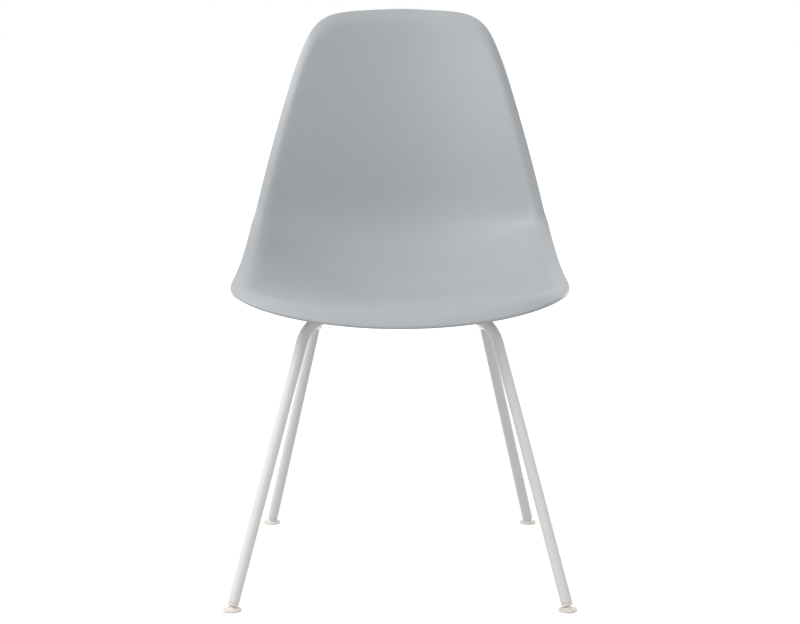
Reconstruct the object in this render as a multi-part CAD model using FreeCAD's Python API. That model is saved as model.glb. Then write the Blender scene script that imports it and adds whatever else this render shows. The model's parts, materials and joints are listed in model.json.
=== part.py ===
import FreeCAD, Part
import math
import os

# Four-legged side chair: a moulded shell on two bent tubes, with tilting floor glides.
# Millimetres. X across, -Y towards the front, +Z up. While it is built, Y starts at the
# front of the lip; at the end the chair moves so that its box's bottom centre is the origin.

V = FreeCAD.Vector

# Shell: its inner face along the middle, from the front of the seat to the top (y, z)
spine_points = [(0, 414), (40, 414), (90, 410), (150, 405), (220, 400), (290, 399.5),
                (350, 406), (412, 425), (452, 460), (463.5, 510), (466.5, 565), (474.5, 630),
                (488, 695), (502, 752), (510, 798)]
# Shell: its flat outline, (half width, distance along the spine)
outline_points = [(0, 0), (70, 2), (125, 9.5), (173, 25), (208.5, 53), (227.6, 94),
                  (233, 150), (231, 215), (227.5, 285), (224.4, 357), (221.2, 425.5),
                  (216.9, 491.5), (202.1, 562.5), (181.2, 638.5), (159.4, 712.5), (142, 760.5),
                  (124.3, 789.5), (98, 804.5), (50, 810), (0, 813)]
# Shell: how far it has risen 200 mm out from the middle, (distance along the spine, rise)
side_rises = [(0, 23), (50, 20), (100, 20), (150, 25), (200, 31), (300, 47), (414, 59),
              (521, 57), (621, 53), (721, 54), (814, 55)]
# Shell: how far its rim rolls back, (distance along the spine, drop)
rim_roll_drops = [(0, 7), (100, 8), (250, 10), (414, 12.5), (571, 13), (721, 12.5),
                  (814, 9)]
shell_thickness = 5.5
bowl_centre = 210.0        # where along the spine the seat's rings close in
side_rise_at = 200.0
lip_roll_drop = 20.5       # how far the front lip rolls down
lip_roll_width = 34.0
lip_roll_reach = 95.0      # how far back from the lip the deep roll fades out
rim_roll_width = 30.0
rim_bend_share = 0.65      # how much of the rim's roll is bent; the rest runs straight out
rim_edge_radius = 3.0
lines_per_span = 2
centre_ring_share = 0.2    # the smallest ring, as a share of the step between rings
inner_rings = 16
roll_ring_shares = (0.65, 0.35)

# Leg frame: two bent tubes, and two thinner side rails between their bars
tube_diameter = 15.9
tube_wall = 1.6
bend_radius = 50.0
bar_z = 390.0
front_bar_y = 131.0
front_corner_x = 124.6
front_foot_x = 227.0
front_foot_y = 36.0
rear_bar_y = 385.0
rear_corner_x = 112.7
rear_foot_x = 200.0
rear_foot_y = 495.0
rail_diameter = 12.7
rail_wall = 1.5
rail_x = 55.0

# Shell mounts: at each corner a plate between rubber pieces, under a moulded boss
front_mount_x = 114.5
front_mount_y = 163.0
rear_mount_x = 102.0
rear_mount_y = 353.0
plate_thickness = 3.0
plate_saddle_depth = 1.0
plate_pad_radius = 17.0
plate_tail_x = 47.0        # the plate's inner end, under the rail
plate_bar_overlap = 9.0    # how far the plate's tail runs past the bar's centre line
block_radius = 18.0
block_waist_radius = 15.5
block_height = 14.0
block_rim_height = 3.5
core_radius = 7.0
bushing_radius = 11.0
bushing_height = 8.0
boss_radius = 16.0
boss_taper_degrees = 2.0
screw_diameter = 8.0
screw_length = 35.0
screw_head_width = 13.0
screw_head_height = 5.3
screw_hole_clearance = 0.4
washer_diameter = 18.0
washer_thickness = 1.6
insert_radius = 6.5
insert_tip_clearance = 1.6   # the insert's length past the screw's tip
insert_bore_clearance = 0.05
insert_end_clearance = 1.0

# Floor glides
ball_radius = 3.5
ball_height = 4.4
socket_clearance = 0.12
socket_lip_rise = 1.4
neck_radius = 1.9
neck_clearance = 0.05
stud_head_radius = 3.2
stud_head_height = 2.0
stud_head_side_clearance = 0.3
stud_head_end_clearance = 0.1
collar_gap = 4.0           # from the ball's centre to the collar, along the leg
collar_height = 3.5
collar_inset = 0.3
plug_length = 18.0
plug_clearance = 0.05
plug_neck_length = 8.0     # how deep the stud's head sits above the collar's lower face
pad_radius = 13.0
pad_edge_height = 2.8
pad_edge_round = 0.6
pad_dome_height = 3.4
pad_boss_radius = 5.8
pad_boss_flare = 1.0       # how much wider the boss is where it meets the dome

tube_radius = tube_diameter / 2
tube_bore_radius = tube_radius - tube_wall
rail_radius = rail_diameter / 2
bars_bottom_z = bar_z - tube_radius
rail_z = bars_bottom_z + rail_radius
screw_radius = screw_diameter / 2
plate_top_z = bars_bottom_z + plate_saddle_depth
plate_bottom_z = plate_top_z - plate_thickness
boss_bottom_z = plate_top_z + block_height
screw_reach = screw_length - washer_thickness - bushing_height - plate_thickness - block_height
insert_length = screw_reach + insert_tip_clearance
tube_start = collar_gap + collar_height


def smooth_step(value):
    """0 below 0, 1 above 1, and an even curve between."""
    value = min(max(value, 0.0), 1.0)
    return value * value * (3 - 2 * value)


def make_spine():
    """The inner face's middle line."""
    spine = Part.BSplineCurve()
    spine.interpolate([V(0, y, z) for y, z in spine_points])
    return spine


def curve_along(points):
    """A value against the distance along the spine, which is the curve's parameter."""
    curve = Part.BSplineCurve()
    curve.interpolate(Points=[V(along, value, 0) for along, value in points],
                      Parameters=[along for along, value in points])
    return curve


def outline_lines():
    """Points round the closed flat outline: both sides, with extra ones between."""
    right = [V(*point) for point in outline_points]
    left = [V(-point.x, point.y) for point in right[-2:0:-1]]
    outline = Part.BSplineCurve()
    outline.interpolate(Points=right + left, PeriodicFlag=True)
    knots = outline.getKnots()
    lines = []
    for start, end in zip(knots[:-1], knots[1:]):
        for step in range(lines_per_span):
            lines.append(outline.value(start + (end - start) * step / lines_per_span))
    return lines


def ring_positions(width, reach):
    """Where a line's net points lie, from 0 at the bowl's centre to 1 at the rim."""
    step_out = (1 - width / reach) / inner_rings
    positions = [step_out * centre_ring_share]
    positions += [step_out * step for step in range(1, inner_rings + 1)]
    positions += [1 - share * width / reach for share in roll_ring_shares]
    return positions + [1 - rim_edge_radius / reach, 1.0]


def sheet_line(spine, rise_curve, drop_curve, rim_point):
    """The inner face's points from the bowl's centre to one point of the rim."""
    roll_share = smooth_step(1 - rim_point.y / lip_roll_reach)
    rim_drop = drop_curve.value(rim_point.y).y
    drop = rim_drop + (lip_roll_drop - rim_drop) * roll_share
    width = rim_roll_width + (lip_roll_width - rim_roll_width) * roll_share
    bend = rim_bend_share + (1 - rim_bend_share) * roll_share
    reach = math.hypot(rim_point.x, rim_point.y - bowl_centre)
    first, last = spine.FirstParameter, spine.LastParameter
    line = []
    for position in ring_positions(width, reach):
        across = rim_point.x * position
        station = bowl_centre + (rim_point.y - bowl_centre) * position
        station = min(max(station, first), last)
        along = spine.tangent(station)[0]
        inside = max(0.0, 1 - (1 - position) * reach / width)
        bent = min(inside, bend)
        fall = drop * (2 * inside * bent - bent ** 2) / (bend * (2 - bend))
        height = rise_curve.value(station).y * (across / side_rise_at) ** 2 - fall
        line.append(spine.value(station) + V(across, -along.z * height, along.y * height))
    return line


def shell_net():
    """The closed net of the shell: inner face, rounded edge, outer face."""
    spine = make_spine()
    rise_curve = curve_along(side_rises)
    drop_curve = curve_along(rim_roll_drops)
    centre = spine.value(bowl_centre)
    along = spine.tangent(bowl_centre)[0]
    lines = [sheet_line(spine, rise_curve, drop_curve, point) for point in outline_lines()]
    net = []
    for index, line in enumerate(lines):
        before = lines[index - 1]
        after = lines[(index + 1) % len(lines)]
        outer = []
        for ring, point in enumerate(line):
            inward = line[ring - 1] if ring else centre
            outward = line[min(ring + 1, len(line) - 1)]
            normal = (outward - inward).cross(after[ring] - before[ring])
            outer.append(point - normal.normalize() * shell_thickness)
        centre_under = centre - V(0, -along.z, along.y) * shell_thickness
        net.append([centre] + line + outer[::-1] + [centre_under])
    return net


def make_shell_sheet():
    """The shell without its bosses: the net's smooth surface in four patches, sewn."""
    net = shell_net()
    spans = len(net[0]) - 3
    surface = Part.BSplineSurface()
    surface.buildFromPolesMultsKnots(
        net, [1] * (len(net) + 1), [4] + [1] * (spans - 1) + [4],
        list(range(len(net) + 1)), list(range(spans + 1)), True, False, 3, 3)
    middle_line = len(net) // 2
    middle_row = spans / 2
    faces = []
    for lines in ((0, middle_line), (middle_line, len(net))):
        for rows in ((0, middle_row), (middle_row, spans)):
            patch = surface.copy()
            patch.segment(lines[0], lines[1], rows[0], rows[1])
            faces.append(patch.toShape())
    sewn = Part.makeShell(faces)
    sewn.sewShape()
    solid = Part.Solid(Part.Shell(sewn.Faces))
    if solid.Volume < 0:
        solid.reverse()
    return solid


def cylinder(radius, height, x, y, z):
    """An upright cylinder that stands on z."""
    return Part.makeCylinder(radius, height, V(x, y, z))


def revolve_profile(points):
    """A solid turned about Z from a closed profile of (radius, height) points."""
    corners = [V(radius, 0, height) for radius, height in points]
    face = Part.Face(Part.makePolygon(corners + corners[:1]))
    return face.revolve(V(0, 0, 0), V(0, 0, 1), 360)


def moved(shape, x, y, z):
    """A copy of the shape, shifted."""
    copy = shape.copy()
    copy.translate(V(x, y, z))
    return copy


def grouped(shapes):
    """Separate solids in one node."""
    return Part.makeCompound(shapes)


def shell_boss(sheet, x, y):
    """The part of a tapered boss that lies under the shell's sheet."""
    height = sheet.BoundBox.ZMax - boss_bottom_z
    top_radius = boss_radius + height * math.tan(math.radians(boss_taper_degrees))
    boss = Part.makeCone(boss_radius, top_radius, height, V(x, y, boss_bottom_z))
    return min(boss.cut(sheet).Solids, key=lambda solid: solid.CenterOfMass.z)


def make_seat_shell():
    """The moulding: sheet, four bosses, and a blind hole in each for its insert."""
    sheet = make_shell_sheet()
    shell = sheet
    for x, y in mount_places:
        shell = shell.fuse(shell_boss(sheet, x, y))
    for x, y in mount_places:
        depth = insert_length + insert_end_clearance
        shell = shell.cut(cylinder(insert_radius, depth, x, y, boss_bottom_z))
    return shell.Solids[0]


def leg_points(corner_x, bar_y, foot_x, foot_y):
    """The leg tube's corner and lower end on the right side, and the way down the leg."""
    corner = V(corner_x, bar_y, bar_z)
    ball = V(foot_x, foot_y, ball_height)
    down = (ball - corner).normalize()
    return corner, ball - down * tube_start, down


def mirror(point):
    """The same point on the left side."""
    return V(-point.x, point.y, point.z)


def leg_wire(corner, end, down):
    """The tube's centre line: leg, bend, bar, bend, leg."""
    turn = math.acos(down.x)
    setback = bend_radius * math.tan(turn / 2)
    bar_end = corner - V(setback, 0, 0)
    leg_top = corner + down * setback
    inward = (leg_top + bar_end - corner * 2).normalize()
    arc_middle = corner + inward * (bend_radius / math.cos(turn / 2) - bend_radius)
    return Part.Wire([
        Part.LineSegment(end, leg_top).toShape(),
        Part.Arc(leg_top, arc_middle, bar_end).toShape(),
        Part.LineSegment(bar_end, mirror(bar_end)).toShape(),
        Part.Arc(mirror(bar_end), mirror(arc_middle), mirror(leg_top)).toShape(),
        Part.LineSegment(mirror(leg_top), mirror(end)).toShape()])


def swept_rod(wire, start, direction, radius):
    """A round rod along a wire."""
    section = Part.Wire(Part.makeCircle(radius, start, direction))
    return wire.makePipeShell([section], True, False)


def make_leg_rods(corner_x, bar_y, foot_x, foot_y):
    """A leg frame's outer rod, and the rod of its bore."""
    corner, end, down = leg_points(corner_x, bar_y, foot_x, foot_y)
    wire = leg_wire(corner, end, down)
    return [swept_rod(wire, end, down, radius) for radius in (tube_radius, tube_bore_radius)]


def rail_rod(x, radius):
    """A rod from the front bar's centre line to the rear bar's."""
    return Part.makeCylinder(radius, rear_bar_y - front_bar_y, V(x, front_bar_y, rail_z),
                             V(0, 1, 0))


def make_side_rail(x, front_rod, rear_rod):
    """A rail between the bars, its ends shaped to them."""
    rail = rail_rod(x, rail_radius).cut(rail_rod(x, rail_radius - rail_wall))
    return rail.cut(front_rod).cut(rear_rod)


def make_mount_plate(x, y, bar_y, tubes):
    """A plate welded under the bar and the rail, with a round ear under the block."""
    side = math.copysign(1, x)
    towards_bar = math.copysign(1, bar_y - y)
    tail = side * plate_tail_x
    bar_edge = bar_y + towards_bar * plate_bar_overlap
    ear_edge = y - towards_bar * plate_pad_radius
    corners = [V(tail, bar_edge), V(x - side * plate_pad_radius, bar_edge),
               V(x + side * plate_pad_radius, y), V(x, ear_edge), V(tail, ear_edge)]
    outline = Part.makePolygon(corners + corners[:1])
    plate = Part.Face(outline).extrude(V(0, 0, plate_thickness))
    plate = plate.fuse(cylinder(plate_pad_radius, plate_thickness, x, y, 0)).removeSplitter()
    plate = moved(plate, 0, 0, plate_bottom_z)
    hole = cylinder(screw_radius + screw_hole_clearance, plate_thickness, x, y, plate_bottom_z)
    plate = plate.cut(hole)
    for tube in tubes:
        plate = plate.cut(tube)
    return plate


def make_block():
    """A rubber block with a waist, bored for its steel core, standing on z = 0."""
    half = block_height / 2
    profile = [(core_radius, 0), (block_radius, 0), (block_radius, block_rim_height),
               (block_waist_radius, half), (block_radius, block_height - block_rim_height),
               (block_radius, block_height), (core_radius, block_height)]
    return revolve_profile(profile)


def make_bushing():
    """The rubber bushing under a plate, its top at z = 0."""
    hole_radius = screw_radius + screw_hole_clearance
    return cylinder(bushing_radius, bushing_height, 0, 0, -bushing_height).cut(
        cylinder(hole_radius, bushing_height, 0, 0, -bushing_height))


def make_core():
    """The steel sleeve in a block."""
    hole_radius = screw_radius + screw_hole_clearance
    return cylinder(core_radius, block_height, 0, 0, 0).cut(
        cylinder(hole_radius, block_height, 0, 0, 0))


def make_insert():
    """A threaded insert, its mouth at z = 0."""
    bore_radius = screw_radius + insert_bore_clearance
    return cylinder(insert_radius, insert_length, 0, 0, 0).cut(
        cylinder(bore_radius, insert_length, 0, 0, 0))


def make_washer():
    """A flat washer whose top is at z = 0."""
    hole_radius = screw_radius + screw_hole_clearance
    return cylinder(washer_diameter / 2, washer_thickness, 0, 0, -washer_thickness).cut(
        cylinder(hole_radius, washer_thickness, 0, 0, -washer_thickness))


def make_screw():
    """A hexagon-head screw, its head's upper face at z = 0."""
    corner_radius = screw_head_width / math.sqrt(3)
    corners = [V(corner_radius * math.cos(math.radians(60 * index)),
                 corner_radius * math.sin(math.radians(60 * index)),
                 -screw_head_height) for index in range(7)]
    head = Part.Face(Part.makePolygon(corners)).extrude(V(0, 0, screw_head_height))
    return head.fuse(cylinder(screw_radius, screw_length, 0, 0, 0))


def make_glide_plug():
    """The plug that closes a tube, with the ball's centre at the origin and the leg along Z."""
    collar_top = collar_gap + collar_height
    head_floor = collar_gap + plug_neck_length
    bore_radius = neck_radius + neck_clearance
    well_radius = stud_head_radius + stud_head_side_clearance
    profile = [(bore_radius, collar_gap), (tube_radius - collar_inset, collar_gap),
               (tube_radius - collar_inset, collar_top),
               (tube_bore_radius - plug_clearance, collar_top),
               (tube_bore_radius - plug_clearance, collar_top + plug_length),
               (well_radius, collar_top + plug_length), (well_radius, head_floor),
               (bore_radius, head_floor)]
    return revolve_profile(profile)


def make_glide_stud():
    """The ball stud: ball, neck, and a head that the plug keeps in."""
    head_floor = collar_gap + plug_neck_length + stud_head_end_clearance
    ball = Part.makeSphere(ball_radius)
    neck = cylinder(neck_radius, head_floor, 0, 0, 0)
    head = cylinder(stud_head_radius, stud_head_height, 0, 0, head_floor)
    return ball.fuse(neck).fuse(head).removeSplitter()


def make_glide_pad():
    """The disc that stands on the floor, with a socket round the ball."""
    boss_top = ball_height + socket_lip_rise
    profile = [(0, 0), (pad_radius - pad_edge_round, 0), (pad_radius, pad_edge_round),
               (pad_radius, pad_edge_height), (pad_boss_radius + pad_boss_flare, pad_dome_height),
               (pad_boss_radius, boss_top), (0, boss_top)]
    socket = Part.makeSphere(ball_radius + socket_clearance, V(0, 0, ball_height))
    return revolve_profile(profile).cut(socket)


def stand_on_leg(shape, ball, up_leg):
    """Turn a shape from Z to the leg's direction, and put its origin at the ball."""
    copy = shape.copy()
    turn = FreeCAD.Rotation(V(0, 0, 1), up_leg)
    copy.Placement = FreeCAD.Placement(ball, turn)
    return copy


front_leg = (front_corner_x, front_bar_y, front_foot_x, front_foot_y)
rear_leg = (rear_corner_x, rear_bar_y, rear_foot_x, rear_foot_y)
corners = {
    "front_left": (-1, front_leg, front_mount_x, front_mount_y),
    "front_right": (1, front_leg, front_mount_x, front_mount_y),
    "rear_left": (-1, rear_leg, rear_mount_x, rear_mount_y),
    "rear_right": (1, rear_leg, rear_mount_x, rear_mount_y)}
mount_places = [(side * x, y) for side, leg, x, y in corners.values()]


def build_parts():
    """Every node by name, and each foot's ball centre and leg direction."""
    parts = {"seat_shell": make_seat_shell()}
    front_rod, front_bore = make_leg_rods(*front_leg)
    rear_rod, rear_bore = make_leg_rods(*rear_leg)
    parts["front_leg_tube"] = front_rod.cut(front_bore)
    parts["rear_leg_tube"] = rear_rod.cut(rear_bore)
    rails = {"left": -rail_x, "right": rail_x}
    for side_name, x in rails.items():
        parts["side_rail_" + side_name] = make_side_rail(x, front_rod, rear_rod)
    feet = {}
    for name, (side, leg, mount_x, mount_y) in corners.items():
        x = side * mount_x
        bar_rod = front_rod if leg is front_leg else rear_rod
        tubes = [bar_rod, rail_rod(side * rail_x, rail_radius)]
        parts["mount_plate_" + name] = make_mount_plate(x, mount_y, leg[1], tubes)
        parts["shock_block_" + name] = moved(make_block(), x, mount_y, plate_top_z)
        parts["shock_bushing_" + name] = moved(make_bushing(), x, mount_y, plate_bottom_z)
        down = leg_points(*leg)[2]
        ball = V(side * leg[2], leg[3], ball_height)
        up_leg = V(-side * down.x, -down.y, -down.z)
        feet[name] = (ball, up_leg)
        parts["glide_plug_" + name] = stand_on_leg(make_glide_plug(), ball, up_leg)
        parts["glide_stud_" + name] = stand_on_leg(make_glide_stud(), ball, up_leg)
        parts["glide_pad_" + name] = moved(make_glide_pad(), ball.x, ball.y, 0)
    repeated = {
        "block_cores": (make_core(), plate_top_z),
        "shell_inserts": (make_insert(), boss_bottom_z),
        "mount_washers": (make_washer(), plate_bottom_z - bushing_height),
        "mount_screws": (make_screw(), plate_bottom_z - bushing_height - washer_thickness)}
    for name, (shape, z) in repeated.items():
        parts[name] = grouped([moved(shape, x, y, z) for x, y in mount_places])
    return parts, feet


parts, feet = build_parts()
box = grouped(list(parts.values())).optimalBoundingBox(False, False)
origin_shift = V(0, -(box.YMin + box.YMax) / 2, -box.ZMin)
os.makedirs("parts", exist_ok=True)
for name, shape in parts.items():
    shape.translate(origin_shift)
    print(name, shape.isValid(), len(shape.Solids), round(shape.Volume, 1))
    shape.exportStep("parts/" + name + ".step")
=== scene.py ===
import json
import math

import bmesh
import bpy
import numpy as np
from mathutils import Matrix, Vector
from mathutils.bvhtree import BVHTree


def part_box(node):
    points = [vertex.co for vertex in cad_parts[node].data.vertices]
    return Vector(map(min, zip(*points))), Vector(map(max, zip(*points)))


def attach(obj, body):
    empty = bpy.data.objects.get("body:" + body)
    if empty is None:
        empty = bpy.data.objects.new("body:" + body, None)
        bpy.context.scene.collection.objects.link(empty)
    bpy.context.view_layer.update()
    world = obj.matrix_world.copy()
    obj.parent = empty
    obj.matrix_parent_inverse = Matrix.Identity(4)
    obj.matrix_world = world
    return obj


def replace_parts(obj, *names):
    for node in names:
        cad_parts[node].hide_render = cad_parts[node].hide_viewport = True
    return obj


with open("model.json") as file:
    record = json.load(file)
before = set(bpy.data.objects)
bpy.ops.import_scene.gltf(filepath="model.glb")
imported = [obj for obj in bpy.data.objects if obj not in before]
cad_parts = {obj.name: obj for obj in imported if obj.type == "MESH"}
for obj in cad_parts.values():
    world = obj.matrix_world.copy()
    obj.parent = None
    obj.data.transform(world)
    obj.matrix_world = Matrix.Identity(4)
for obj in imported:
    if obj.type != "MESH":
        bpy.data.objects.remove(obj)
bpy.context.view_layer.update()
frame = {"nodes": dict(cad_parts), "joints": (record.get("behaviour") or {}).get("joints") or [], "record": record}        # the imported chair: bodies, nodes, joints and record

nodes = frame["nodes"]
rootBody = "frame_and_shell"
corners = ("front_left", "front_right", "rear_left", "rear_right")
mm = 0.001


# Mesh helpers

def finishPiece(name, bm, material, body=rootBody, sharpAngle=35):
    # one object at the origin, smooth except over its sharp edges
    mesh = bpy.data.meshes.new(name)
    bm.to_mesh(mesh)
    bm.free()
    mesh.shade_smooth()
    mesh.set_sharp_from_angle(angle=math.radians(sharpAngle))
    mesh.materials.append(material)
    piece = bpy.data.objects.new(name, mesh)
    bpy.context.scene.collection.objects.link(piece)
    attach(piece, body)
    return piece


def sharpEdges(bm, degrees):
    return [edge for edge in bm.edges
            if edge.is_manifold and edge.calc_face_angle(0) > math.radians(degrees)]


def bevelSharp(bm, width, degrees=30, segments=3):
    bmesh.ops.bevel(bm, geom=sharpEdges(bm, degrees), offset=width, offset_type="OFFSET",
                    affect="EDGES", segments=segments, profile=0.5, material=-1,
                    clamp_overlap=True)


def turned(profile, steps=64):
    # a closed (radius, height) profile spun once round Z
    bm = bmesh.new()
    points = [bm.verts.new((radius, 0, height)) for radius, height in profile]
    lines = [bm.edges.new(pair) for pair in zip(points, points[1:] + points[:1])]
    bmesh.ops.spin(bm, geom=points + lines, cent=(0, 0, 0), axis=(0, 0, 1), dvec=(0, 0, 0),
                   angle=math.tau, steps=steps, use_merge=True, use_duplicate=False)
    bmesh.ops.remove_doubles(bm, verts=bm.verts, dist=1e-6)
    loose = [edge for edge in bm.edges if edge.is_wire]
    bmesh.ops.delete(bm, geom=loose, context="EDGES")
    bmesh.ops.recalc_face_normals(bm, faces=bm.faces)
    return bm


def arc(centre, radius, start, end, steps):
    # points of a (radius, height) profile along an arc, in degrees
    angles = [math.radians(start + (end - start) * step / steps) for step in range(steps + 1)]
    return [(centre[0] + radius * math.cos(a), centre[1] + radius * math.sin(a)) for a in angles]


def vertsOf(geom):
    return [part for part in geom if isinstance(part, bmesh.types.BMVert)]


def openEdgesOf(geom):
    return [part for part in geom if isinstance(part, bmesh.types.BMEdge) and part.is_boundary]


def addCopy(target, source, matrix):
    # put a transformed copy of one bmesh into another
    mesh = bpy.data.meshes.new("copy")
    source.to_mesh(mesh)
    mesh.transform(matrix)
    target.from_mesh(mesh)
    bpy.data.meshes.remove(mesh)


def middle(node):
    low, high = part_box(node)
    return (low + high) / 2


# Shader groups

def newGroup(name, inputs, outputs):
    group = bpy.data.node_groups.new(name, "ShaderNodeTree")
    for socketName, kind in inputs:
        group.interface.new_socket(name=socketName, in_out="INPUT", socket_type=kind)
    for socketName, kind in outputs:
        group.interface.new_socket(name=socketName, in_out="OUTPUT", socket_type=kind)
    start = group.nodes.new("NodeGroupInput")
    end = group.nodes.new("NodeGroupOutput")
    return group, start, end


def noiseNode(tree, detail, rough):
    noise = tree.nodes.new("ShaderNodeTexNoise")
    noise.inputs["Detail"].default_value = detail
    noise.inputs["Roughness"].default_value = rough
    return noise


def rangeNode(tree, source, fromMin, fromMax, toMin=0.0, toMax=1.0):
    ramp = tree.nodes.new("ShaderNodeMapRange")
    values = {"From Min": fromMin, "From Max": fromMax, "To Min": toMin, "To Max": toMax}
    for name, value in values.items():
        ramp.inputs[name].default_value = value
    tree.links.new(source, ramp.inputs["Value"])
    return ramp.outputs["Result"]


def mathNode(tree, operation, first, second):
    node = tree.nodes.new("ShaderNodeMath")
    node.operation = operation
    for socket, value in zip(node.inputs, (first, second)):
        if isinstance(value, (int, float)):
            socket.default_value = value
        else:
            tree.links.new(value, socket)
    return node.outputs[0]


def mixColour(tree, factor, first, second):
    # a Mix node's factor is its first socket; its colours are inputs 6 and 7 and output 2
    mix = tree.nodes.new("ShaderNodeMix")
    mix.data_type = "RGBA"
    for index, value in ((0, factor), (6, first), (7, second)):
        tree.links.new(value, mix.inputs[index])
    return mix.outputs[2]


groupShape = {       # how the shared groups mix their noises
    "coarseScale": 0.23, "coarseShare": 0.3, "fineShare": 0.7, "speckleRange": (0.35, 0.65),
    "driftRange": (0.3, 0.7), "driftShare": 0.65, "speckleShare": 0.35,
}


def makeGrainGroup():
    # fine moulded or sprayed texture: a height, and a speckle of the same grain
    group, start, end = newGroup(
        "surfaceGrain",
        [("Vector", "NodeSocketVector"), ("Scale", "NodeSocketFloat")],
        [("Height", "NodeSocketFloat"), ("Speckle", "NodeSocketFloat")])
    fine = noiseNode(group, 3.0, 0.6)
    coarse = noiseNode(group, 1.0, 0.5)
    group.links.new(start.outputs["Vector"], fine.inputs["Vector"])
    group.links.new(start.outputs["Vector"], coarse.inputs["Vector"])
    group.links.new(start.outputs["Scale"], fine.inputs["Scale"])
    coarseScale = mathNode(group, "MULTIPLY", start.outputs["Scale"], groupShape["coarseScale"])
    group.links.new(coarseScale, coarse.inputs["Scale"])
    fineShare = mathNode(group, "MULTIPLY", fine.outputs["Fac"], groupShape["fineShare"])
    coarseShare = mathNode(group, "MULTIPLY", coarse.outputs["Fac"], groupShape["coarseShare"])
    group.links.new(mathNode(group, "ADD", fineShare, coarseShare), end.inputs["Height"])
    speckle = rangeNode(group, fine.outputs["Fac"], *groupShape["speckleRange"])
    group.links.new(speckle, end.inputs["Speckle"])
    return group


def makeToneGroup():
    # slow drift of tone over a surface, such as handling and uneven mixing leave
    group, start, end = newGroup(
        "toneDrift",
        [("Vector", "NodeSocketVector"), ("Scale", "NodeSocketFloat"),
         ("Light", "NodeSocketColor"), ("Dark", "NodeSocketColor"), ("Speckle", "NodeSocketFloat")],
        [("Color", "NodeSocketColor"), ("Drift", "NodeSocketFloat")])
    slow = noiseNode(group, 3.0, 0.55)
    group.links.new(start.outputs["Vector"], slow.inputs["Vector"])
    group.links.new(start.outputs["Scale"], slow.inputs["Scale"])
    drift = rangeNode(group, slow.outputs["Fac"], *groupShape["driftRange"])
    speckleShare = mathNode(group, "MULTIPLY", start.outputs["Speckle"], groupShape["speckleShare"])
    driftShare = mathNode(group, "MULTIPLY", drift, groupShape["driftShare"])
    factor = mathNode(group, "ADD", driftShare, speckleShare)
    colour = mixColour(group, factor, start.outputs["Dark"], start.outputs["Light"])
    group.links.new(colour, end.inputs["Color"])
    group.links.new(drift, end.inputs["Drift"])
    return group


grainGroup = makeGrainGroup()
toneGroup = makeToneGroup()


def makeMaterial(name, finish):
    # a Principled surface whose colour, roughness and bump come from the shared groups
    material = bpy.data.materials.new(name)
    material.use_nodes = True
    tree = material.node_tree
    shader = tree.nodes["Principled BSDF"]
    coordinates = tree.nodes.new("ShaderNodeTexCoord")
    grain = tree.nodes.new("ShaderNodeGroup")
    grain.node_tree = grainGroup
    grain.inputs["Scale"].default_value = finish["grainScale"]
    tone = tree.nodes.new("ShaderNodeGroup")
    tone.node_tree = toneGroup
    tone.inputs["Scale"].default_value = finish["toneScale"]
    base = Vector(finish["colour"])
    drift = finish["toneDrift"]
    tone.inputs["Light"].default_value = (*(base * (1 + drift)), 1)
    tone.inputs["Dark"].default_value = (*(base * (1 - drift)), 1)
    for group in (grain, tone):
        tree.links.new(coordinates.outputs["Object"], group.inputs["Vector"])
    tree.links.new(grain.outputs["Speckle"], tone.inputs["Speckle"])
    tree.links.new(tone.outputs["Color"], shader.inputs["Base Color"])
    low, high = finish["roughness"]
    tree.links.new(rangeNode(tree, tone.outputs["Drift"], 0, 1, low, high), shader.inputs["Roughness"])
    bump = tree.nodes.new("ShaderNodeBump")
    bump.inputs["Strength"].default_value = finish["bumpStrength"]
    bump.inputs["Distance"].default_value = finish["grainDepth"]
    tree.links.new(grain.outputs["Height"], bump.inputs["Height"])
    tree.links.new(bump.outputs["Normal"], shader.inputs["Normal"])
    shader.inputs["Metallic"].default_value = finish.get("metallic", 0.0)
    shader.inputs["IOR"].default_value = finish.get("ior", 1.5)
    return material


finishes = {
    "shellPlastic": {"colour": (0.416, 0.437, 0.451), "toneDrift": 0.018, "toneScale": 9.0,
                     "grainScale": 1500.0, "grainDepth": 0.00006, "bumpStrength": 0.5,
                     "roughness": (0.42, 0.50), "ior": 1.49},
    "framePaint": {"colour": (0.80, 0.79, 0.77), "toneDrift": 0.012, "toneScale": 14.0,
                   "grainScale": 620.0, "grainDepth": 0.00005, "bumpStrength": 0.5,
                   "roughness": (0.30, 0.40)},
    "blackRubber": {"colour": (0.022, 0.022, 0.024), "toneDrift": 0.25, "toneScale": 60.0,
                    "grainScale": 1400.0, "grainDepth": 0.00008, "bumpStrength": 0.6,
                    "roughness": (0.62, 0.80)},
    "glideNylon": {"colour": (0.81, 0.77, 0.71), "toneDrift": 0.03, "toneScale": 90.0,
                   "grainScale": 1700.0, "grainDepth": 0.00003, "bumpStrength": 0.4,
                   "roughness": (0.36, 0.48)},
    "zincSteel": {"colour": (0.68, 0.68, 0.66), "toneDrift": 0.06, "toneScale": 120.0,
                  "grainScale": 900.0, "grainDepth": 0.00003, "bumpStrength": 0.5,
                  "roughness": (0.26, 0.40), "metallic": 1.0},
    "brass": {"colour": (0.72, 0.55, 0.27), "toneDrift": 0.05, "toneScale": 150.0,
              "grainScale": 1200.0, "grainDepth": 0.00002, "bumpStrength": 0.4,
              "roughness": (0.25, 0.38), "metallic": 1.0},
}
materials = {name: makeMaterial(name, finish) for name, finish in finishes.items()}
slotMaterials = {"shell_plastic": "shellPlastic", "frame_paint": "framePaint",
                 "black_rubber": "blackRubber", "glide_nylon": "glideNylon",
                 "zinc_steel": "zincSteel", "brass": "brass"}


def dressNodes():
    # every carried node takes the finish of its slot
    for part in frame["record"]["subparts"]:
        mesh = nodes[part["node"]].data
        mesh.materials.clear()
        mesh.materials.append(materials[slotMaterials[part["material_slot"]]])


dressNodes()
print("materials ready:", ", ".join(materials))


# Seat shell

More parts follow.
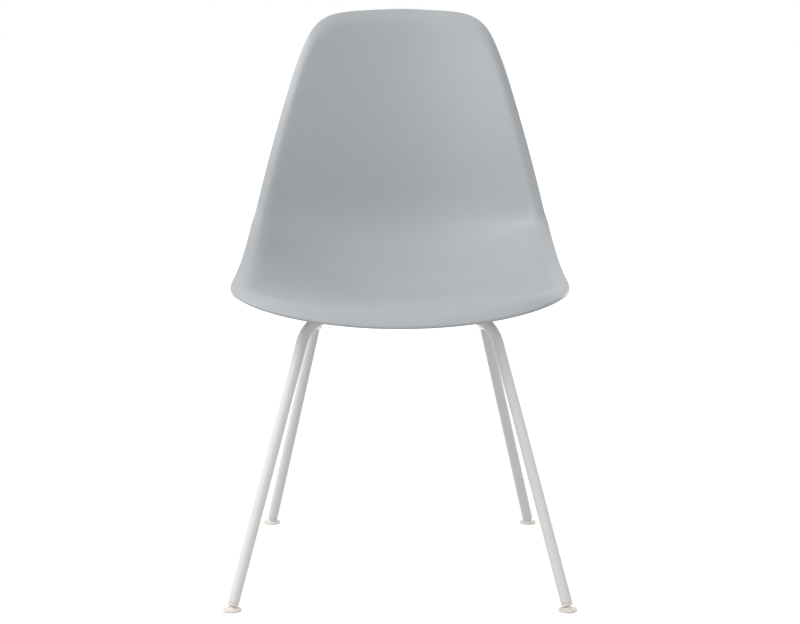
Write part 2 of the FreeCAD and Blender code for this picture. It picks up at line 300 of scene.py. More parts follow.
shellShape = {       # millimetres; the length along the seat starts at the lip
    "spine": [(0, 414), (40, 414), (90, 410), (150, 405), (220, 400), (290, 399.5),
              (350, 406), (412, 425), (452, 460), (463.5, 510), (466.5, 565), (474.5, 630),
              (488, 695), (502, 752), (510, 798)],
    "outline": [(0, 0), (70, 2), (125, 9.5), (173, 25), (208.5, 53), (227.6, 94),
                (233, 150), (231, 215), (227.5, 285), (224.4, 357), (221.2, 425.5),
                (216.9, 491.5), (202.1, 562.5), (181.2, 638.5), (159.4, 712.5), (142, 760.5),
                (124.3, 789.5), (98, 804.5), (50, 810), (0, 813)],
    "sideRises": [(0, 23), (50, 20), (100, 20), (150, 25), (200, 31), (300, 47), (414, 59),
                  (521, 57), (621, 53), (721, 54), (814, 55)],
    "riseAt": 200, "thickness": 5.5, "bowlCentre": 210,
    "lipRoll": (20.5, 34), "rimRollWidth": 30, "lipRollReach": 95,   # roll drop and width
    "rimRollDrops": [(0, 7), (100, 8), (250, 10), (414, 12.5), (571, 13), (721, 12.5),
                     (814, 9)],
    "rimBendShare": 0.65,    # how much of the rim's roll is bent; the rest runs straight out
    "rimEdge": 3, "rollRings": (0.65, 0.35), "steps": 16,
    "centreSteps": 5, "centreSpread": 1.2, "cellsPerSide": 19, "smoothing": 2,
}


def cubicThrough(knots, values):
    # slopes of the smooth curve through the values; its ends follow their four nearest points
    knots = np.array(knots, float)
    values = np.array(values, float)
    steps = np.diff(knots)
    rates = np.diff(values) / steps
    count = len(knots)
    system = np.eye(count)
    known = np.zeros(count)
    known[0] = np.polyfit(knots[:4] - knots[0], values[:4], 3)[-2]
    known[-1] = np.polyfit(knots[-4:] - knots[-1], values[-4:], 3)[-2]
    for i in range(1, count - 1):
        before, after = 1 / steps[i - 1], 1 / steps[i]
        system[i, i - 1:i + 2] = before, 2 * (before + after), after
        known[i] = 3 * (rates[i - 1] * before + rates[i] * after)
    slopes = np.linalg.solve(system, known)

    def sample(at):
        i = min(max(int(np.searchsorted(knots, at)) - 1, 0), count - 2)
        step = steps[i]
        t = (at - knots[i]) / step
        value = ((2 * t**3 - 3 * t**2 + 1) * values[i] + (t**3 - 2 * t**2 + t) * step * slopes[i]
                 + (3 * t**2 - 2 * t**3) * values[i + 1] + (t**3 - t**2) * step * slopes[i + 1])
        slope = ((6 * t**2 - 6 * t) * values[i] / step + (3 * t**2 - 4 * t + 1) * slopes[i]
                 + (6 * t - 6 * t**2) * values[i + 1] / step + (3 * t**2 - 2 * t) * slopes[i + 1])
        return value, slope
    return sample


def chordKnots(points):
    lengths = [math.dist(a, b) for a, b in zip(points, points[1:])]
    return np.concatenate([[0], np.cumsum(lengths)])


class ShellForm:
    # the shell's inner face as a function of a line out from the bowl and a share of its length
    def __init__(self, shape):
        self.shape = shape
        spine = shape["spine"]
        self.spineKnots = chordKnots(spine)
        self.spineY = cubicThrough(self.spineKnots, [y for y, z in spine])
        self.spineZ = cubicThrough(self.spineKnots, [z for y, z in spine])
        self.rise = cubicThrough(*zip(*shape["sideRises"]))
        self.rimDrop = cubicThrough(*zip(*shape["rimRollDrops"]))
        right = shape["outline"]
        left = [(-x, along) for x, along in right[-2:0:-1]]
        loop = right + left
        self.spans = len(loop)
        wrap = 8                                     # enough repeats to close the curve
        wrapped = loop[-wrap:] + loop + loop[:wrap + 1]
        self.rimKnots = chordKnots(wrapped)
        self.wrap = wrap
        self.rimX = cubicThrough(self.rimKnots, [x for x, along in wrapped])
        self.rimAlong = cubicThrough(self.rimKnots, [along for x, along in wrapped])

    def rimPoint(self, line):
        # two lines to each span of the outline
        span = int(line // 2) % self.spans
        share = (line / 2) % 1
        start, end = self.rimKnots[self.wrap + span:self.wrap + span + 2]
        at = start + (end - start) * share
        return self.rimX(at)[0], self.rimAlong(at)[0]

    def roll(self, line):
        x, along = self.rimPoint(line)
        share = min(max(1 - along / self.shape["lipRollReach"], 0), 1)
        share = share * share * (3 - 2 * share)
        lipDrop, lipWidth = self.shape["lipRoll"]
        rimDrop, rimWidth = self.rimDrop(along)[0], self.shape["rimRollWidth"]
        reach = math.hypot(x, along - self.shape["bowlCentre"])
        bend = self.shape["rimBendShare"]
        return (rimDrop + (lipDrop - rimDrop) * share, rimWidth + (lipWidth - rimWidth) * share,
                bend + (1 - bend) * share, reach)

    def ringPositions(self, line):
        drop, width, bend, reach = self.roll(line)
        step = (1 - width / reach) / self.shape["steps"]
        rings = [step * i for i in range(self.shape["centreSteps"], self.shape["steps"] + 1)]
        rings += [1 - share * width / reach for share in self.shape["rollRings"]]
        return rings + [1 - self.shape["rimEdge"] / reach, 1.0]

    def point(self, line, position):
        drop, width, bend, reach = self.roll(line)
        rimX, rimAlong = self.rimPoint(line)
        across = rimX * position
        centre = self.shape["bowlCentre"]
        station = min(max(centre + (rimAlong - centre) * position, 0), self.spineKnots[-1])
        y, slopeY = self.spineY(station)
        z, slopeZ = self.spineZ(station)
        length = math.hypot(slopeY, slopeZ)
        inside = max(0, 1 - (1 - position) * reach / width)
        bent = min(inside, bend)
        fall = drop * (2 * inside * bent - bent**2) / (bend * (2 - bend))
        height = self.rise(station)[0] * (across / self.shape["riseAt"])**2 - fall
        return Vector((across, y - slopeZ / length * height, z + slopeY / length * height)) * mm


def makeShellSheet():
    # a square patch over the bowl's middle, then rings out to the rim, a wall and a smooth skin
    shape = shellShape
    form = ShellForm(shape)
    cells = shape["cellsPerSide"]
    bm = bmesh.new()
    bmesh.ops.create_grid(bm, x_segments=cells, y_segments=cells, size=1)
    lineOf = bm.verts.layers.float.new("line")
    for vert in bm.verts:
        a, b = vert.co.x, vert.co.y
        out = max(abs(a), abs(b))
        # walk round the square from its front corner: right, back, left
        if out < 1e-6:
            walk = 0.0
        elif b <= -out + 1e-6:
            walk = (a / out + 1) / 2
        elif a >= out - 1e-6:
            walk = 1 + (b / out + 1) / 2
        elif b >= out - 1e-6:
            walk = 2 + (1 - a / out) / 2
        else:
            walk = 3 + (1 - b / out) / 2
        line = walk * cells
        vert[lineOf] = line
        vert.co = form.point(line, form.ringPositions(line)[0] * out**shape["centreSpread"])
    rings = len(form.ringPositions(0))
    rim = openEdgesOf(bm.edges)
    for ring in range(1, rings):
        made = bmesh.ops.extrude_edge_only(bm, edges=rim)["geom"]
        for vert in vertsOf(made):
            vert.co = form.point(vert[lineOf], form.ringPositions(vert[lineOf])[ring])
        rim = openEdgesOf(made)
    bmesh.ops.recalc_face_normals(bm, faces=bm.faces)
    bm.faces.ensure_lookup_table()
    bm.normal_update()
    flat = min(bm.faces, key=lambda face: (face.calc_center_median() - form.point(0, 0)).length)
    if flat.normal.z < 0:
        bmesh.ops.reverse_faces(bm, faces=bm.faces)
    bm.normal_update()
    bmesh.ops.solidify(bm, geom=bm.faces, thickness=shape["thickness"] * mm)
    return bm


def smoothSkin(bm, levels):
    # the limit surface of the net, as a real mesh
    mesh = bpy.data.meshes.new("net")
    bm.to_mesh(mesh)
    bm.free()
    holder = bpy.data.objects.new("net", mesh)
    bpy.context.scene.collection.objects.link(holder)
    skin = holder.modifiers.new("skin", "SUBSURF")
    skin.levels = levels
    skin.render_levels = levels
    bpy.context.view_layer.update()
    evaluated = holder.evaluated_get(bpy.context.evaluated_depsgraph_get())
    result = bmesh.new()
    result.from_mesh(evaluated.to_mesh())
    evaluated.to_mesh_clear()
    bpy.data.objects.remove(holder)
    bpy.data.meshes.remove(mesh)
    return result


bossShape = {"radius": 16 * mm, "taper": 2.0, "fillet": 4 * mm, "sunk": 1.5 * mm,
             "segments": 56, "filletSteps": 5, "holeRadius": 6.5 * mm, "holeDepth": 11 * mm,
             "rayDrop": 10 * mm}


def addBoss(bm, tree, node):
    # a tapered boss up to the shell's underside, with a moulded fillet and the insert's hole
    low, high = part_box(node)
    foot = Vector(((low.x + high.x) / 2, (low.y + high.y) / 2, high.z))
    count = bossShape["segments"]
    boss = bmesh.new()
    bmesh.ops.create_circle(boss, cap_ends=True, radius=bossShape["radius"], segments=count)
    bmesh.ops.translate(boss, verts=boss.verts, vec=foot)
    mouth = boss.faces[:]
    bmesh.ops.inset_region(boss, faces=mouth, thickness=bossShape["radius"] - bossShape["holeRadius"],
                           use_even_offset=True)
    deep = bmesh.ops.extrude_face_region(boss, geom=mouth)["geom"]
    bmesh.ops.delete(boss, geom=mouth, context="FACES_ONLY")
    bmesh.ops.translate(boss, verts=vertsOf(deep), vec=(0, 0, bossShape["holeDepth"]))
    edge = openEdgesOf(boss.edges)

    def underside(angle, radius):
        start = foot + Vector((math.cos(angle) * radius, math.sin(angle) * radius, 0))
        hit = tree.ray_cast(start - Vector((0, 0, bossShape["rayDrop"])), Vector((0, 0, 1)))[0]
        return hit.z

    fillet = bossShape["fillet"]
    steps = bossShape["filletSteps"]
    for step in range(steps + 2):
        made = bmesh.ops.extrude_edge_only(boss, edges=edge)["geom"]
        for vert in vertsOf(made):
            away = vert.co - foot
            angle = math.atan2(away.y, away.x)
            turn = math.radians(90 * min(step, steps) / steps)
            radius = bossShape["radius"] + fillet * (1 - math.cos(turn))
            height = underside(angle, radius) - fillet * (1 - math.sin(turn))
            radius += (height - foot.z) * math.tan(math.radians(bossShape["taper"]))
            if step > steps:
                height += bossShape["sunk"]
            vert.co = Vector((foot.x + math.cos(angle) * radius, foot.y + math.sin(angle) * radius,
                              height))
        edge = openEdgesOf(made)
    bmesh.ops.edgeloop_fill(boss, edges=edge)
    bmesh.ops.recalc_face_normals(boss, faces=boss.faces)
    addCopy(bm, boss, Matrix.Identity(4))
    boss.free()


def makeShell():
    bm = smoothSkin(makeShellSheet(), shellShape["smoothing"])
    low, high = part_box("seat_shell")
    ys = [vert.co.y for vert in bm.verts]
    zs = [vert.co.z for vert in bm.verts]
    shift = Vector((0, (low.y + high.y) / 2 - (min(ys) + max(ys)) / 2, high.z - max(zs)))
    print("shell shift from the lip frame (mm):", [round(v / mm, 3) for v in shift])
    bmesh.ops.translate(bm, verts=bm.verts, vec=shift)
    tree = BVHTree.FromBMesh(bm)
    for corner in corners:
        addBoss(bm, tree, "shock_block_" + corner)
    shell = finishPiece("seatShell", bm, materials["shellPlastic"], sharpAngle=60)
    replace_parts(shell, "seat_shell")
    print("seat shell:", len(shell.data.polygons), "faces")
    return shell


makeShell()


# Mounts under the seat

mountShape = {       # millimetres; radii, heights and places come from the frame where it has them
    "blockWaist": 2.5, "blockRim": 3.5, "blockLip": 1.2, "blockNeck": 4.0, "coreRadius": 7.0,
    "bushingBulge": 0.35, "bushingLip": 1.0, "bushingBelly": 6, "boreRound": 0.3,
    "shankHole": 4.4, "washerRound": 0.35,
    "plateRound": 3.0, "plateEdge": 0.45, "plateRadius": 17.0, "plateTail": 47.0,
    "holeSteps": 28, "earSteps": 26,
}


def rounded(corners, steps=4):
    # a closed profile from (radius, height, rounding) corners, each rounding an arc
    points = []
    count = len(corners)
    for i, (radius, height, fillet) in enumerate(corners):
        here = Vector((radius, height))
        if not fillet:
            points.append((radius, height))
            continue
        back = (Vector(corners[i - 1][:2]) - here).normalized()
        ahead = (Vector(corners[(i + 1) % count][:2]) - here).normalized()
        half = back.angle(ahead) / 2
        centre = here + (back + ahead).normalized() * (fillet / math.sin(half))
        start = here + back * (fillet / math.tan(half)) - centre
        end = here + ahead * (fillet / math.tan(half)) - centre
        turn = start.angle_signed(end)
        for step in range(steps + 1):
            arm = start.copy()
            arm.rotate(Matrix.Rotation(-turn * step / steps, 2))
            points.append(tuple(centre + arm))
    return points


def standing(node):
    # the place of an upright part: the middle of its lower face
    low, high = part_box(node)
    return Matrix.Translation(((low.x + high.x) / 2, (low.y + high.y) / 2, low.z))


def sizeOf(node):
    # the radius and height of an upright round part, in millimetres
    low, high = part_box(node)
    return (high.x - low.x) / 2 / mm, (high.z - low.z) / mm


def turnedPiece(name, profile, place, material, body=rootBody, steps=64):
    bm = turned(profile, steps)
    bmesh.ops.transform(bm, matrix=place @ Matrix.Scale(mm, 4), verts=bm.verts)
    return finishPiece(name, bm, materials[material], body)


def makeBlock(corner):
    # rubber: two rolled rims and a drawn-in waist
    node = "shock_block_" + corner
    radius, height = sizeOf(node)
    shape = mountShape
    rim, lip, core, bore = (shape[key] for key in ("blockRim", "blockLip", "coreRadius", "boreRound"))
    profile = rounded([(core, 0, bore), (radius, 0, lip), (radius, rim, lip / 2),
                       (radius - shape["blockWaist"], height / 2, shape["blockNeck"]),
                       (radius, height - rim, lip / 2), (radius, height, lip), (core, height, bore)])
    piece = turnedPiece("shockBlock_" + corner, profile, standing(node), "blackRubber")
    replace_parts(piece, node)


def makeBushing(corner):
    node = "shock_bushing_" + corner
    radius, height = sizeOf(node)
    shape = mountShape
    bulge, lip, hole = shape["bushingBulge"], shape["bushingLip"], shape["shankHole"]
    profile = rounded([(hole, 0, shape["boreRound"]), (radius - bulge, 0, lip),
                       (radius + bulge / 2, height / 2, shape["bushingBelly"]),
                       (radius - bulge, height, lip), (hole, height, shape["boreRound"])])
    piece = turnedPiece("shockBushing_" + corner, profile, standing(node), "blackRubber")
    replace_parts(piece, node)


def mountMiddle(corner):
    return middle("shock_block_" + corner).to_2d()


def makeWashers():
    # stamped: rolled on the punch side, sharper on the other
    low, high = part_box("mount_washers")
    radius = high.x / mm - max(mountMiddle(corner).x for corner in corners) / mm
    height = (high.z - low.z) / mm
    soft = mountShape["washerRound"]
    profile = rounded([(mountShape["shankHole"], 0, soft / 3), (radius, 0, soft),
                       (radius, height, soft / 3), (mountShape["shankHole"], height, soft)], 3)
    bm = bmesh.new()
    washer = turned(profile, 48)
    for corner in corners:
        x, y = mountMiddle(corner)
        addCopy(bm, washer, Matrix.Translation((x, y, low.z)) @ Matrix.Scale(mm, 4))
    washer.free()
    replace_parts(finishPiece("mountWashers", bm, materials["zincSteel"]), "mount_washers")


screwShape = {       # millimetres
    "headWidth": 13.0, "headHeight": 5.3, "shankRadius": 4.0, "rootRadius": 3.45, "pitch": 1.25,
    "threadLength": 20.0, "stepsPerTurn": 24, "chamferAngle": 30, "faceShare": 0.94,
    "dishRadius": 3.9, "dishDepth": 0.45, "edge": 0.12, "tip": 0.7, "runout": 0.6,
    "ridgeShare": 0.42, "ridgeSunk": 0.1, "headTurns": (8, 25, 42, 59),   # degrees, one a corner
}


def ringsOut(bm, start, rings):
    # extrude a boundary ring by ring; each ring gives a vertex's new place from its angle
    edge = start
    for place in rings:
        made = bmesh.ops.extrude_edge_only(bm, edges=edge)["geom"]
        for vert in vertsOf(made):
            radius, height = place(math.atan2(vert.co.y, vert.co.x))
            flat = vert.co.to_2d().normalized() * radius
            vert.co = Vector((flat.x, flat.y, height))
        edge = openEdgesOf(made)
    return edge


def makeScrew():
    # head down from z = 0, shank up; a forged head with its turned chamfer and shallow dish
    shape = screwShape
    flat = shape["headWidth"] / 2
    height = shape["headHeight"]
    face = flat * shape["faceShare"]
    slope = math.tan(math.radians(shape["chamferAngle"]))

    def hexRadius(angle):
        return flat / math.cos((angle + math.pi / 6) % (math.pi / 3) - math.pi / 6)

    bm = bmesh.new()
    bmesh.ops.create_circle(bm, radius=shape["shankRadius"], segments=72)
    last = ringsOut(bm, bm.edges[:], [
        lambda angle: (hexRadius(angle), 0),
        lambda angle: (hexRadius(angle), -height + (hexRadius(angle) - face) * slope),
        lambda angle: (face, -height),
        lambda angle: (shape["dishRadius"], -height),
        lambda angle: (shape["dishRadius"] - shape["dishDepth"], -height + shape["dishDepth"])])
    bmesh.ops.edgeloop_fill(bm, edges=last)
    bottom = openEdgesOf(bm.edges)
    low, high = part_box("mount_screws")
    length = (high.z - low.z) / mm - height
    top = ringsOut(bm, bottom, [
        lambda angle: (shape["shankRadius"], length - shape["threadLength"]),
        lambda angle: (shape["rootRadius"], length - shape["threadLength"] + shape["runout"]),
        lambda angle: (shape["rootRadius"], length - shape["tip"]),
        lambda angle: (shape["rootRadius"] - shape["tip"], length)])
    bmesh.ops.edgeloop_fill(bm, edges=top)
    bmesh.ops.recalc_face_normals(bm, faces=bm.faces)
    bevelSharp(bm, shape["edge"], 40, 2)
    addThread(bm, length)
    return bm


def addThread(bm, length):
    # one triangular ridge wound up the shank
    shape = screwShape
    turns = int((shape["threadLength"] - 2 * shape["pitch"]) / shape["pitch"])
    start = length - shape["tip"] - (turns + 0.5) * shape["pitch"]
    half = shape["pitch"] * shape["ridgeShare"]
    ridge = bmesh.new()
    root = shape["rootRadius"] - shape["ridgeSunk"]
    section = [ridge.verts.new(place) for place in
               ((root, 0, start - half), (shape["shankRadius"], 0, start), (root, 0, start + half))]
    face = ridge.faces.new(section)
    steps = turns * shape["stepsPerTurn"]
    bmesh.ops.spin(ridge, geom=[face] + section + face.edges[:], cent=(0, 0, 0), axis=(0, 0, 1),
                   dvec=(0, 0, shape["pitch"] / shape["stepsPerTurn"]), angle=math.tau * turns,
                   steps=steps, use_merge=False, use_duplicate=False)
    bmesh.ops.recalc_face_normals(ridge, faces=ridge.faces)
    addCopy(bm, ridge, Matrix.Identity(4))
    ridge.free()


def makeScrews():
    low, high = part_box("mount_screws")
    bearing = low.z + screwShape["headHeight"] * mm
    bm = bmesh.new()
    screw = makeScrew()
    for corner, degrees in zip(corners, screwShape["headTurns"]):
        x, y = mountMiddle(corner)
        turn = Matrix.Rotation(math.radians(degrees), 4, "Z")
        addCopy(bm, screw, Matrix.Translation((x, y, bearing)) @ turn @ Matrix.Scale(mm, 4))
    screw.free()
    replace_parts(finishPiece("mountScrews", bm, materials["zincSteel"]), "mount_screws")


def plateOutline(corner):
    # the plate's edge in its corner of the frame: tail under the rail, round ear under the block
    low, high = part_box("mount_plate_" + corner)
    centre = mountMiddle(corner)
    side = math.copysign(1, centre.x)
    radius = mountShape["plateRadius"] * mm
    nearEnd = abs(low.y - centre.y) > abs(high.y - centre.y)
    barEdge, earEdge = (low.y, high.y) if nearEnd else (high.y, low.y)
    tail = side * mountShape["plateTail"] * mm
    shoulder = Vector((centre.x - side * radius, barEdge))
    tangent = centre + Vector((side * radius, 0))
    run = (tangent - shoulder).normalized()
    meet = tangent - run * 2 * run.dot(tangent - centre)
    start = meet - centre
    end = Vector((0, earEdge - centre.y))
    turn = start.angle_signed(end)
    through = tangent - centre
    if start.angle_signed(through) * turn < 0:
        turn -= math.copysign(math.tau, turn)
    points = [Vector((tail, barEdge)), shoulder]
    for step in range(mountShape["earSteps"] + 1):
        arm = start.copy()
        arm.rotate(Matrix.Rotation(-turn * step / mountShape["earSteps"], 2))
        points.append(centre + arm)
    return points + [Vector((tail, earEdge))], centre


def makePlate(corner):
    # flat bar stock with clipped corners, a drilled hole and eased edges
    node = "mount_plate_" + corner
    low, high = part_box(node)
    outline, centre = plateOutline(corner)
    bm = bmesh.new()
    edgeVerts = [bm.verts.new((point.x, point.y, high.z)) for point in outline]
    for pair in zip(edgeVerts, edgeVerts[1:] + edgeVerts[:1]):
        bm.edges.new(pair)
    square = [edgeVerts[0], edgeVerts[1], edgeVerts[-1]]
    bmesh.ops.bevel(bm, geom=square, offset=mountShape["plateRound"] * mm, offset_type="OFFSET",
                    affect="VERTICES", segments=4, profile=0.5, material=-1)
    hole = bmesh.ops.create_circle(bm, radius=mountShape["shankHole"] * mm,
                                   segments=mountShape["holeSteps"])["verts"]
    bmesh.ops.translate(bm, verts=hole, vec=(centre.x, centre.y, high.z))
    bmesh.ops.bridge_loops(bm, edges=bm.edges[:])
    bmesh.ops.recalc_face_normals(bm, faces=bm.faces)
    bm.normal_update()
    if bm.faces[:][0].normal.z < 0:
        bmesh.ops.reverse_faces(bm, faces=bm.faces)
    bmesh.ops.solidify(bm, geom=bm.faces, thickness=high.z - low.z)
    bmesh.ops.recalc_face_normals(bm, faces=bm.faces)
    bevelSharp(bm, mountShape["plateEdge"] * mm, 60, 2)
    piece = finishPiece("mountPlate_" + corner, bm, materials["framePaint"])
    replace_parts(piece, node)


for corner in corners:
    makeBlock(corner)
    makeBushing(corner)
    makePlate(corner)
makeWashers()
makeScrews()
print("mounts ready")


# Welds

weldShape = {        # millimetres
    "radius": 1.9, "ripple": 0.16, "pitch": 1.9, "pointStep": 0.45, "sides": 3,
    "wander": 0.18, "wanderTurn": 0.61, "wanderSeed": 2.3, "wanderAcross": 0.6,
    "endSize": 0.45, "endPoints": 3,
    "railRadius": 6.35, "railPlace": 55.0, "loopReach": 118, "loopStep": 4,   # degrees
    "plateSaddle": 1.0, "toe": 1.1, "loopToe": 0.4, "plateToe": 0.5,          # shares of the toe
    "railGap": 3, "barGap": 4, "endGap": 3,
}
inward = {"front": 1, "rear": -1}      # which way along Y the seat's middle lies

railLow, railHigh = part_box("side_rail_left")     # its ends lie on the bars' middle lines
legShape = {"tubeRadius": 7.95, "barY": {"front": railLow.y, "rear": railHigh.y}}


def weldBead(bm, route, seed):
    # a rippled bead along a line of points, its size and path a little uneven
    shape = weldShape
    knots = chordKnots(route)
    count = max(int(knots[-1] / (shape["pointStep"] * mm)), 4)
    stations = [knots[-1] * i / count for i in range(count + 1)]
    axes = [np.interp(stations, knots, [point[i] for point in route]) for i in range(3)]
    curve = bpy.data.curves.new("bead", "CURVE")
    curve.dimensions = "3D"
    curve.bevel_depth = shape["radius"] * mm
    curve.bevel_resolution = shape["sides"]
    curve.use_fill_caps = True
    spline = curve.splines.new("POLY")
    spline.points.add(count)
    for i, point in enumerate(spline.points):
        along = stations[i] / (shape["pitch"] * mm)
        phase = along * shape["wanderTurn"] + seed * shape["wanderSeed"]
        slow = math.sin(phase) * shape["wander"] * mm
        ripple = abs(math.sin(math.pi * along + seed))
        fromEnd = min(i, count - i) / shape["endPoints"]
        taper = min(1.0, shape["endSize"] + (1 - shape["endSize"]) * fromEnd)
        point.co = (axes[0][i] + slow, axes[1][i] + slow * shape["wanderAcross"], axes[2][i], 1)
        point.radius = taper * (1 - shape["ripple"] + shape["ripple"] * ripple)
    holder = bpy.data.objects.new("bead", curve)
    bpy.context.scene.collection.objects.link(holder)
    bpy.context.view_layer.update()
    evaluated = holder.evaluated_get(bpy.context.evaluated_depsgraph_get())
    mesh = bpy.data.meshes.new_from_object(evaluated)
    bm.from_mesh(mesh)
    bpy.data.meshes.remove(mesh)
    bpy.data.objects.remove(holder)
    bpy.data.curves.remove(curve)


def makeWelds():
    bm = bmesh.new()
    shape = weldShape
    tubeRadius = legShape["tubeRadius"]
    barZ = railLow.z + tubeRadius * mm
    railZ = railLow.z + shape["railRadius"] * mm
    seed = 0
    for end, barY in legShape["barY"].items():
        for side in (-1, 1):
            railX = side * shape["railPlace"] * mm
            loop = []
            for degrees in range(-shape["loopReach"], shape["loopReach"] + 1, shape["loopStep"]):
                angle = math.radians(degrees)
                x = railX + shape["railRadius"] * mm * math.sin(angle)
                z = railZ + shape["railRadius"] * mm * math.cos(angle)
                reach = math.sqrt(max((tubeRadius * mm)**2 - (z - barZ)**2, 0))
                reach += shape["toe"] * mm * shape["loopToe"]
                loop.append((x, barY + inward[end] * reach, z))
            weldBead(bm, loop, seed)
            seed += 1
    for corner in corners:
        end = corner.split("_")[0]
        barY = legShape["barY"][end]
        low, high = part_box("mount_plate_" + corner)
        side = -1 if high.x < 0 else 1
        half = math.sqrt(tubeRadius**2 - (tubeRadius - shape["plateSaddle"])**2) * mm
        outer = mountMiddle(corner).x - side * mountShape["plateRadius"] * mm
        inner = side * (shape["railPlace"] + shape["railRadius"] + shape["railGap"]) * mm
        height = high.z + shape["toe"] * mm * shape["plateToe"]
        for way in (-1, 1):
            y = barY + way * (half + shape["toe"] * mm)
            weldBead(bm, [(inner, y, height), (outer, y, height)], seed)
            seed += 1
        railHalf = math.sqrt(shape["railRadius"]**2
                             - (shape["railRadius"] - shape["plateSaddle"])**2) * mm
        x = side * shape["railPlace"] * mm + side * (railHalf + shape["toe"] * mm)
        start = barY + inward[end] * (tubeRadius + shape["barGap"]) * mm
        finish = (high.y if end == "front" else low.y) - inward[end] * shape["endGap"] * mm
        weldBead(bm, [(x, start, height), (x, finish, height)], seed)
        seed += 1
    finishPiece("weldBeads", bm, materials["framePaint"], sharpAngle=70)
    print("welds:", seed)


makeWelds()


# Floor glides

glideShape = {       # millimetres, from the ball's centre up the leg; the pad's from the floor
    "boreRadius": 6.3, "collarRadius": 7.65, "collarTop": 7.5, "skirt": 2.5,
    "skirtRadius": 6.2, "neckBore": 1.95, "collarFloor": 4.0, "plugEnd": 25.5, "well": 12.0,
    "wellRadius": 3.5, "seam": 0.6, "seamDepth": 0.7,
    "ballRadius": 3.5, "neckRadius": 1.9, "headRadius": 3.2, "headHeight": 2.0, "headGap": 0.1,
    "padRadius": 13.0, "padEdge": 2.9, "domeRadius": 7.2, "domeHeight": 3.5, "cupRadius": 5.8,
    "cupTop": 5.8, "socket": 3.62, "ballHeight": 4.4,
}


def upLeg(corner):
    # the place of what hangs on a leg: the ball's centre, with Z up the leg
    joint = next(j for j in frame["joints"] if j["name"] == "glide_turn_" + corner)
    turn = Vector(joint["axis"]).to_track_quat("Z", "Y").to_matrix().to_4x4()
    return Matrix.Translation(joint["pos_m"]) @ turn


def makePlug(corner):
    # collar with a skirt over the ball, a seam under the tube's end, and the shank in the bore
    s = glideShape
    top = s["collarTop"]
    profile = rounded([
        (s["neckBore"], s["collarFloor"], 0.3), (s["skirtRadius"], s["collarFloor"], 0.5),
        (s["skirtRadius"] + 0.1, s["skirt"], 0.4), (s["collarRadius"], s["skirt"], 0.9),
        (s["collarRadius"], top - s["seam"], 0.25),
        (s["collarRadius"] - s["seamDepth"], top - s["seam"], 0.1),
        (s["collarRadius"] - s["seamDepth"], top, 0.1), (s["boreRadius"], top, 0),
        (s["boreRadius"], s["plugEnd"], 0.6), (s["wellRadius"], s["plugEnd"], 0.4),
        (s["wellRadius"], s["well"], 0.2), (s["neckBore"], s["well"], 0.2)])
    piece = turnedPiece("glidePlug_" + corner, profile, upLeg(corner), "glideNylon")
    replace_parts(piece, "glide_plug_" + corner)


def makeStud(corner):
    s = glideShape
    joinAngle = math.degrees(math.acos(s["neckRadius"] / s["ballRadius"]))
    head = s["well"] + s["headGap"]
    profile = arc((0, 0), s["ballRadius"], -90, joinAngle, 20)
    profile += rounded([(s["neckRadius"], head, 0), (s["headRadius"], head, 0.3),
                        (s["headRadius"], head + s["headHeight"], 0.5)])
    profile.append((0, head + s["headHeight"]))
    piece = turnedPiece("glideStud_" + corner, profile, upLeg(corner), "zincSteel",
                        "glide_stud_" + corner)
    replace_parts(piece, "glide_stud_" + corner)


def makePad(corner):
    # a domed disc with a rolled edge and a cup that grips the ball
    s = glideShape
    mouth = math.degrees(math.asin((s["cupTop"] - s["ballHeight"]) / s["socket"]))
    lip = s["socket"] * math.cos(math.radians(mouth))
    profile = [(0, 0)] + rounded([
        (0, 0, 0), (s["padRadius"] - 0.3, 0, 0.8), (s["padRadius"], s["padEdge"], 1.1),
        (s["domeRadius"], s["domeHeight"], 2.0), (s["cupRadius"], s["cupTop"], 0.6),
        (lip, s["cupTop"], 0)])[1:]
    profile += arc((0, s["ballHeight"]), s["socket"], mouth, -90, 14)[1:]
    piece = turnedPiece("glidePad_" + corner, profile, standing("glide_pad_" + corner),
                        "glideNylon", "glide_pad_" + corner)
    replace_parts(piece, "glide_pad_" + corner)


for corner in corners:
    makePlug(corner)
    makeStud(corner)
    makePad(corner)
print("glides ready")


# Studio

studio = {
    "lens": 96.372, "sensor": 36.0, "cameraPlace": (0, -3.0197, 0.8681), "cameraPitch": 9.322,
    "clipStart": 0.05, "aimPoint": (0, 0.05, 0.45), "ambient": 0.36,
    "floorColour": (0.5, 0.5, 0.5), "floorRoughness": 0.9, "floorSize": 12.0, "floorCells": 4,
    "liftNear": 0.75, "liftFar": 1.0, "liftStart": 0.5, "liftEnd": 2.2,   # floor seen directly
}
lamps = [
    # name, place, size, watts
    ("keyLeft", (-2.2, -2.6, 2.6), 2.2, 41.5),
    ("sideLeft", (-2.8, 0.2, 2.8), 2.2, 69.0),
    ("frontLow", (-2.0, -3.8, 0.9), 1.6, 14.0),
    ("fillRight", (2.6, -2.6, 2.0), 2.2, 23.0),
    ("topSoft", (0.0, -0.2, 3.4), 2.6, 9.0),
    ("frontHigh", (0.0, -3.6, 2.6), 2.0, 4.5),
    ("backRight", (2.6, 2.6, 1.2), 2.0, 63.0),
]


def makeCamera():
    camera = bpy.data.objects.new("photoCamera", bpy.data.cameras.new("photoCamera"))
    bpy.context.scene.collection.objects.link(camera)
    camera.data.sensor_fit = "HORIZONTAL"
    camera.data.sensor_width = studio["sensor"]
    camera.data.lens = studio["lens"]
    camera.data.clip_start = studio["clipStart"]
    camera.location = studio["cameraPlace"]
    camera.rotation_euler = (math.radians(90 - studio["cameraPitch"]), 0, 0)
    bpy.context.scene.camera = camera


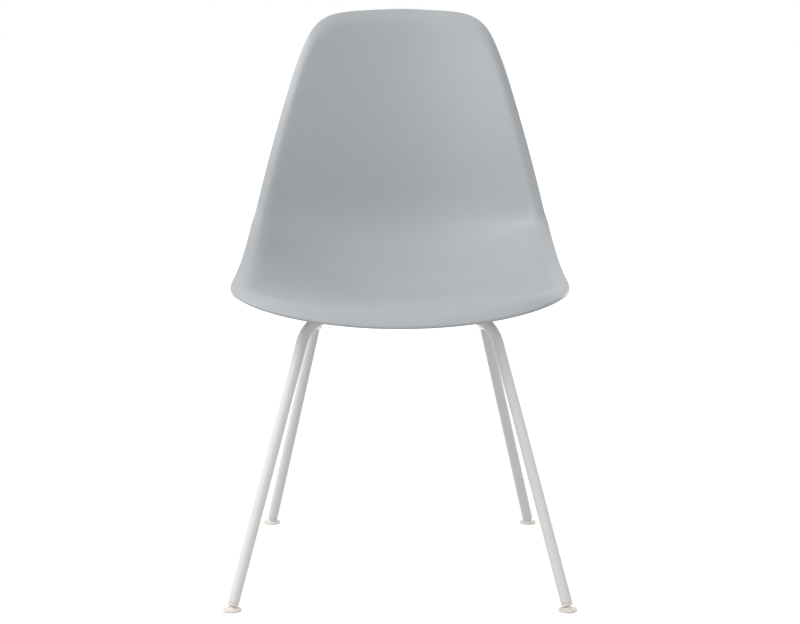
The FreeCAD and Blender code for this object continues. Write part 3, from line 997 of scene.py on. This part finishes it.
def makeLamps():
    for name, place, size, watts in lamps:
        data = bpy.data.lights.new(name, "AREA")
        data.shape = "DISK"
        data.size = size
        data.energy = watts
        lamp = bpy.data.objects.new(name, data)
        bpy.context.scene.collection.objects.link(lamp)
        lamp.visible_camera = False
        lamp.location = place
        aim = Vector(studio["aimPoint"]) - Vector(place)
        lamp.rotation_euler = aim.to_track_quat("-Z", "Y").to_euler()


def seenDirectly(tree):
    # 1 where the camera, a reflection or a clear piece looks straight at it
    path = tree.nodes.new("ShaderNodeLightPath")
    either = mathNode(tree, "MAXIMUM", path.outputs["Is Camera Ray"], path.outputs["Is Glossy Ray"])
    return mathNode(tree, "MAXIMUM", either, path.outputs["Is Transmission Ray"])


def makeWorld():
    world = bpy.data.worlds.new("studio")
    bpy.context.scene.world = world
    world.use_nodes = True
    tree = world.node_tree
    tree.nodes.clear()
    output = tree.nodes.new("ShaderNodeOutputWorld")
    background = tree.nodes.new("ShaderNodeBackground")
    background.inputs["Color"].default_value = (1, 1, 1, 1)
    strength = rangeNode(tree, seenDirectly(tree), 0, 1, studio["ambient"], 1.0)
    tree.links.new(strength, background.inputs["Strength"])
    tree.links.new(background.outputs[0], output.inputs["Surface"])


def makeFloor():
    bm = bmesh.new()
    bmesh.ops.create_grid(bm, x_segments=studio["floorCells"], y_segments=studio["floorCells"],
                          size=studio["floorSize"])
    mesh = bpy.data.meshes.new("floor")
    bm.to_mesh(mesh)
    bm.free()
    floor = bpy.data.objects.new("floor", mesh)
    bpy.context.scene.collection.objects.link(floor)
    material = bpy.data.materials.new("floorPaper")
    material.use_nodes = True
    tree = material.node_tree
    shader = tree.nodes["Principled BSDF"]
    shader.inputs["Base Color"].default_value = (*studio["floorColour"], 1)
    shader.inputs["Roughness"].default_value = studio["floorRoughness"]
    shader.inputs["Specular IOR Level"].default_value = 0.0
    shader.inputs["Emission Color"].default_value = (1, 1, 1, 1)
    coordinates = tree.nodes.new("ShaderNodeTexCoord")
    distance = tree.nodes.new("ShaderNodeVectorMath")
    distance.operation = "LENGTH"
    tree.links.new(coordinates.outputs["Object"], distance.inputs[0])
    lift = rangeNode(tree, distance.outputs["Value"], studio["liftStart"], studio["liftEnd"],
                     studio["liftNear"], studio["liftFar"])
    tree.links.new(mathNode(tree, "MULTIPLY", lift, seenDirectly(tree)),
                   shader.inputs["Emission Strength"])
    mesh.materials.append(material)


makeCamera()
makeLamps()
makeWorld()
makeFloor()
bpy.context.scene.view_settings.view_transform = "Standard"
print("studio ready")
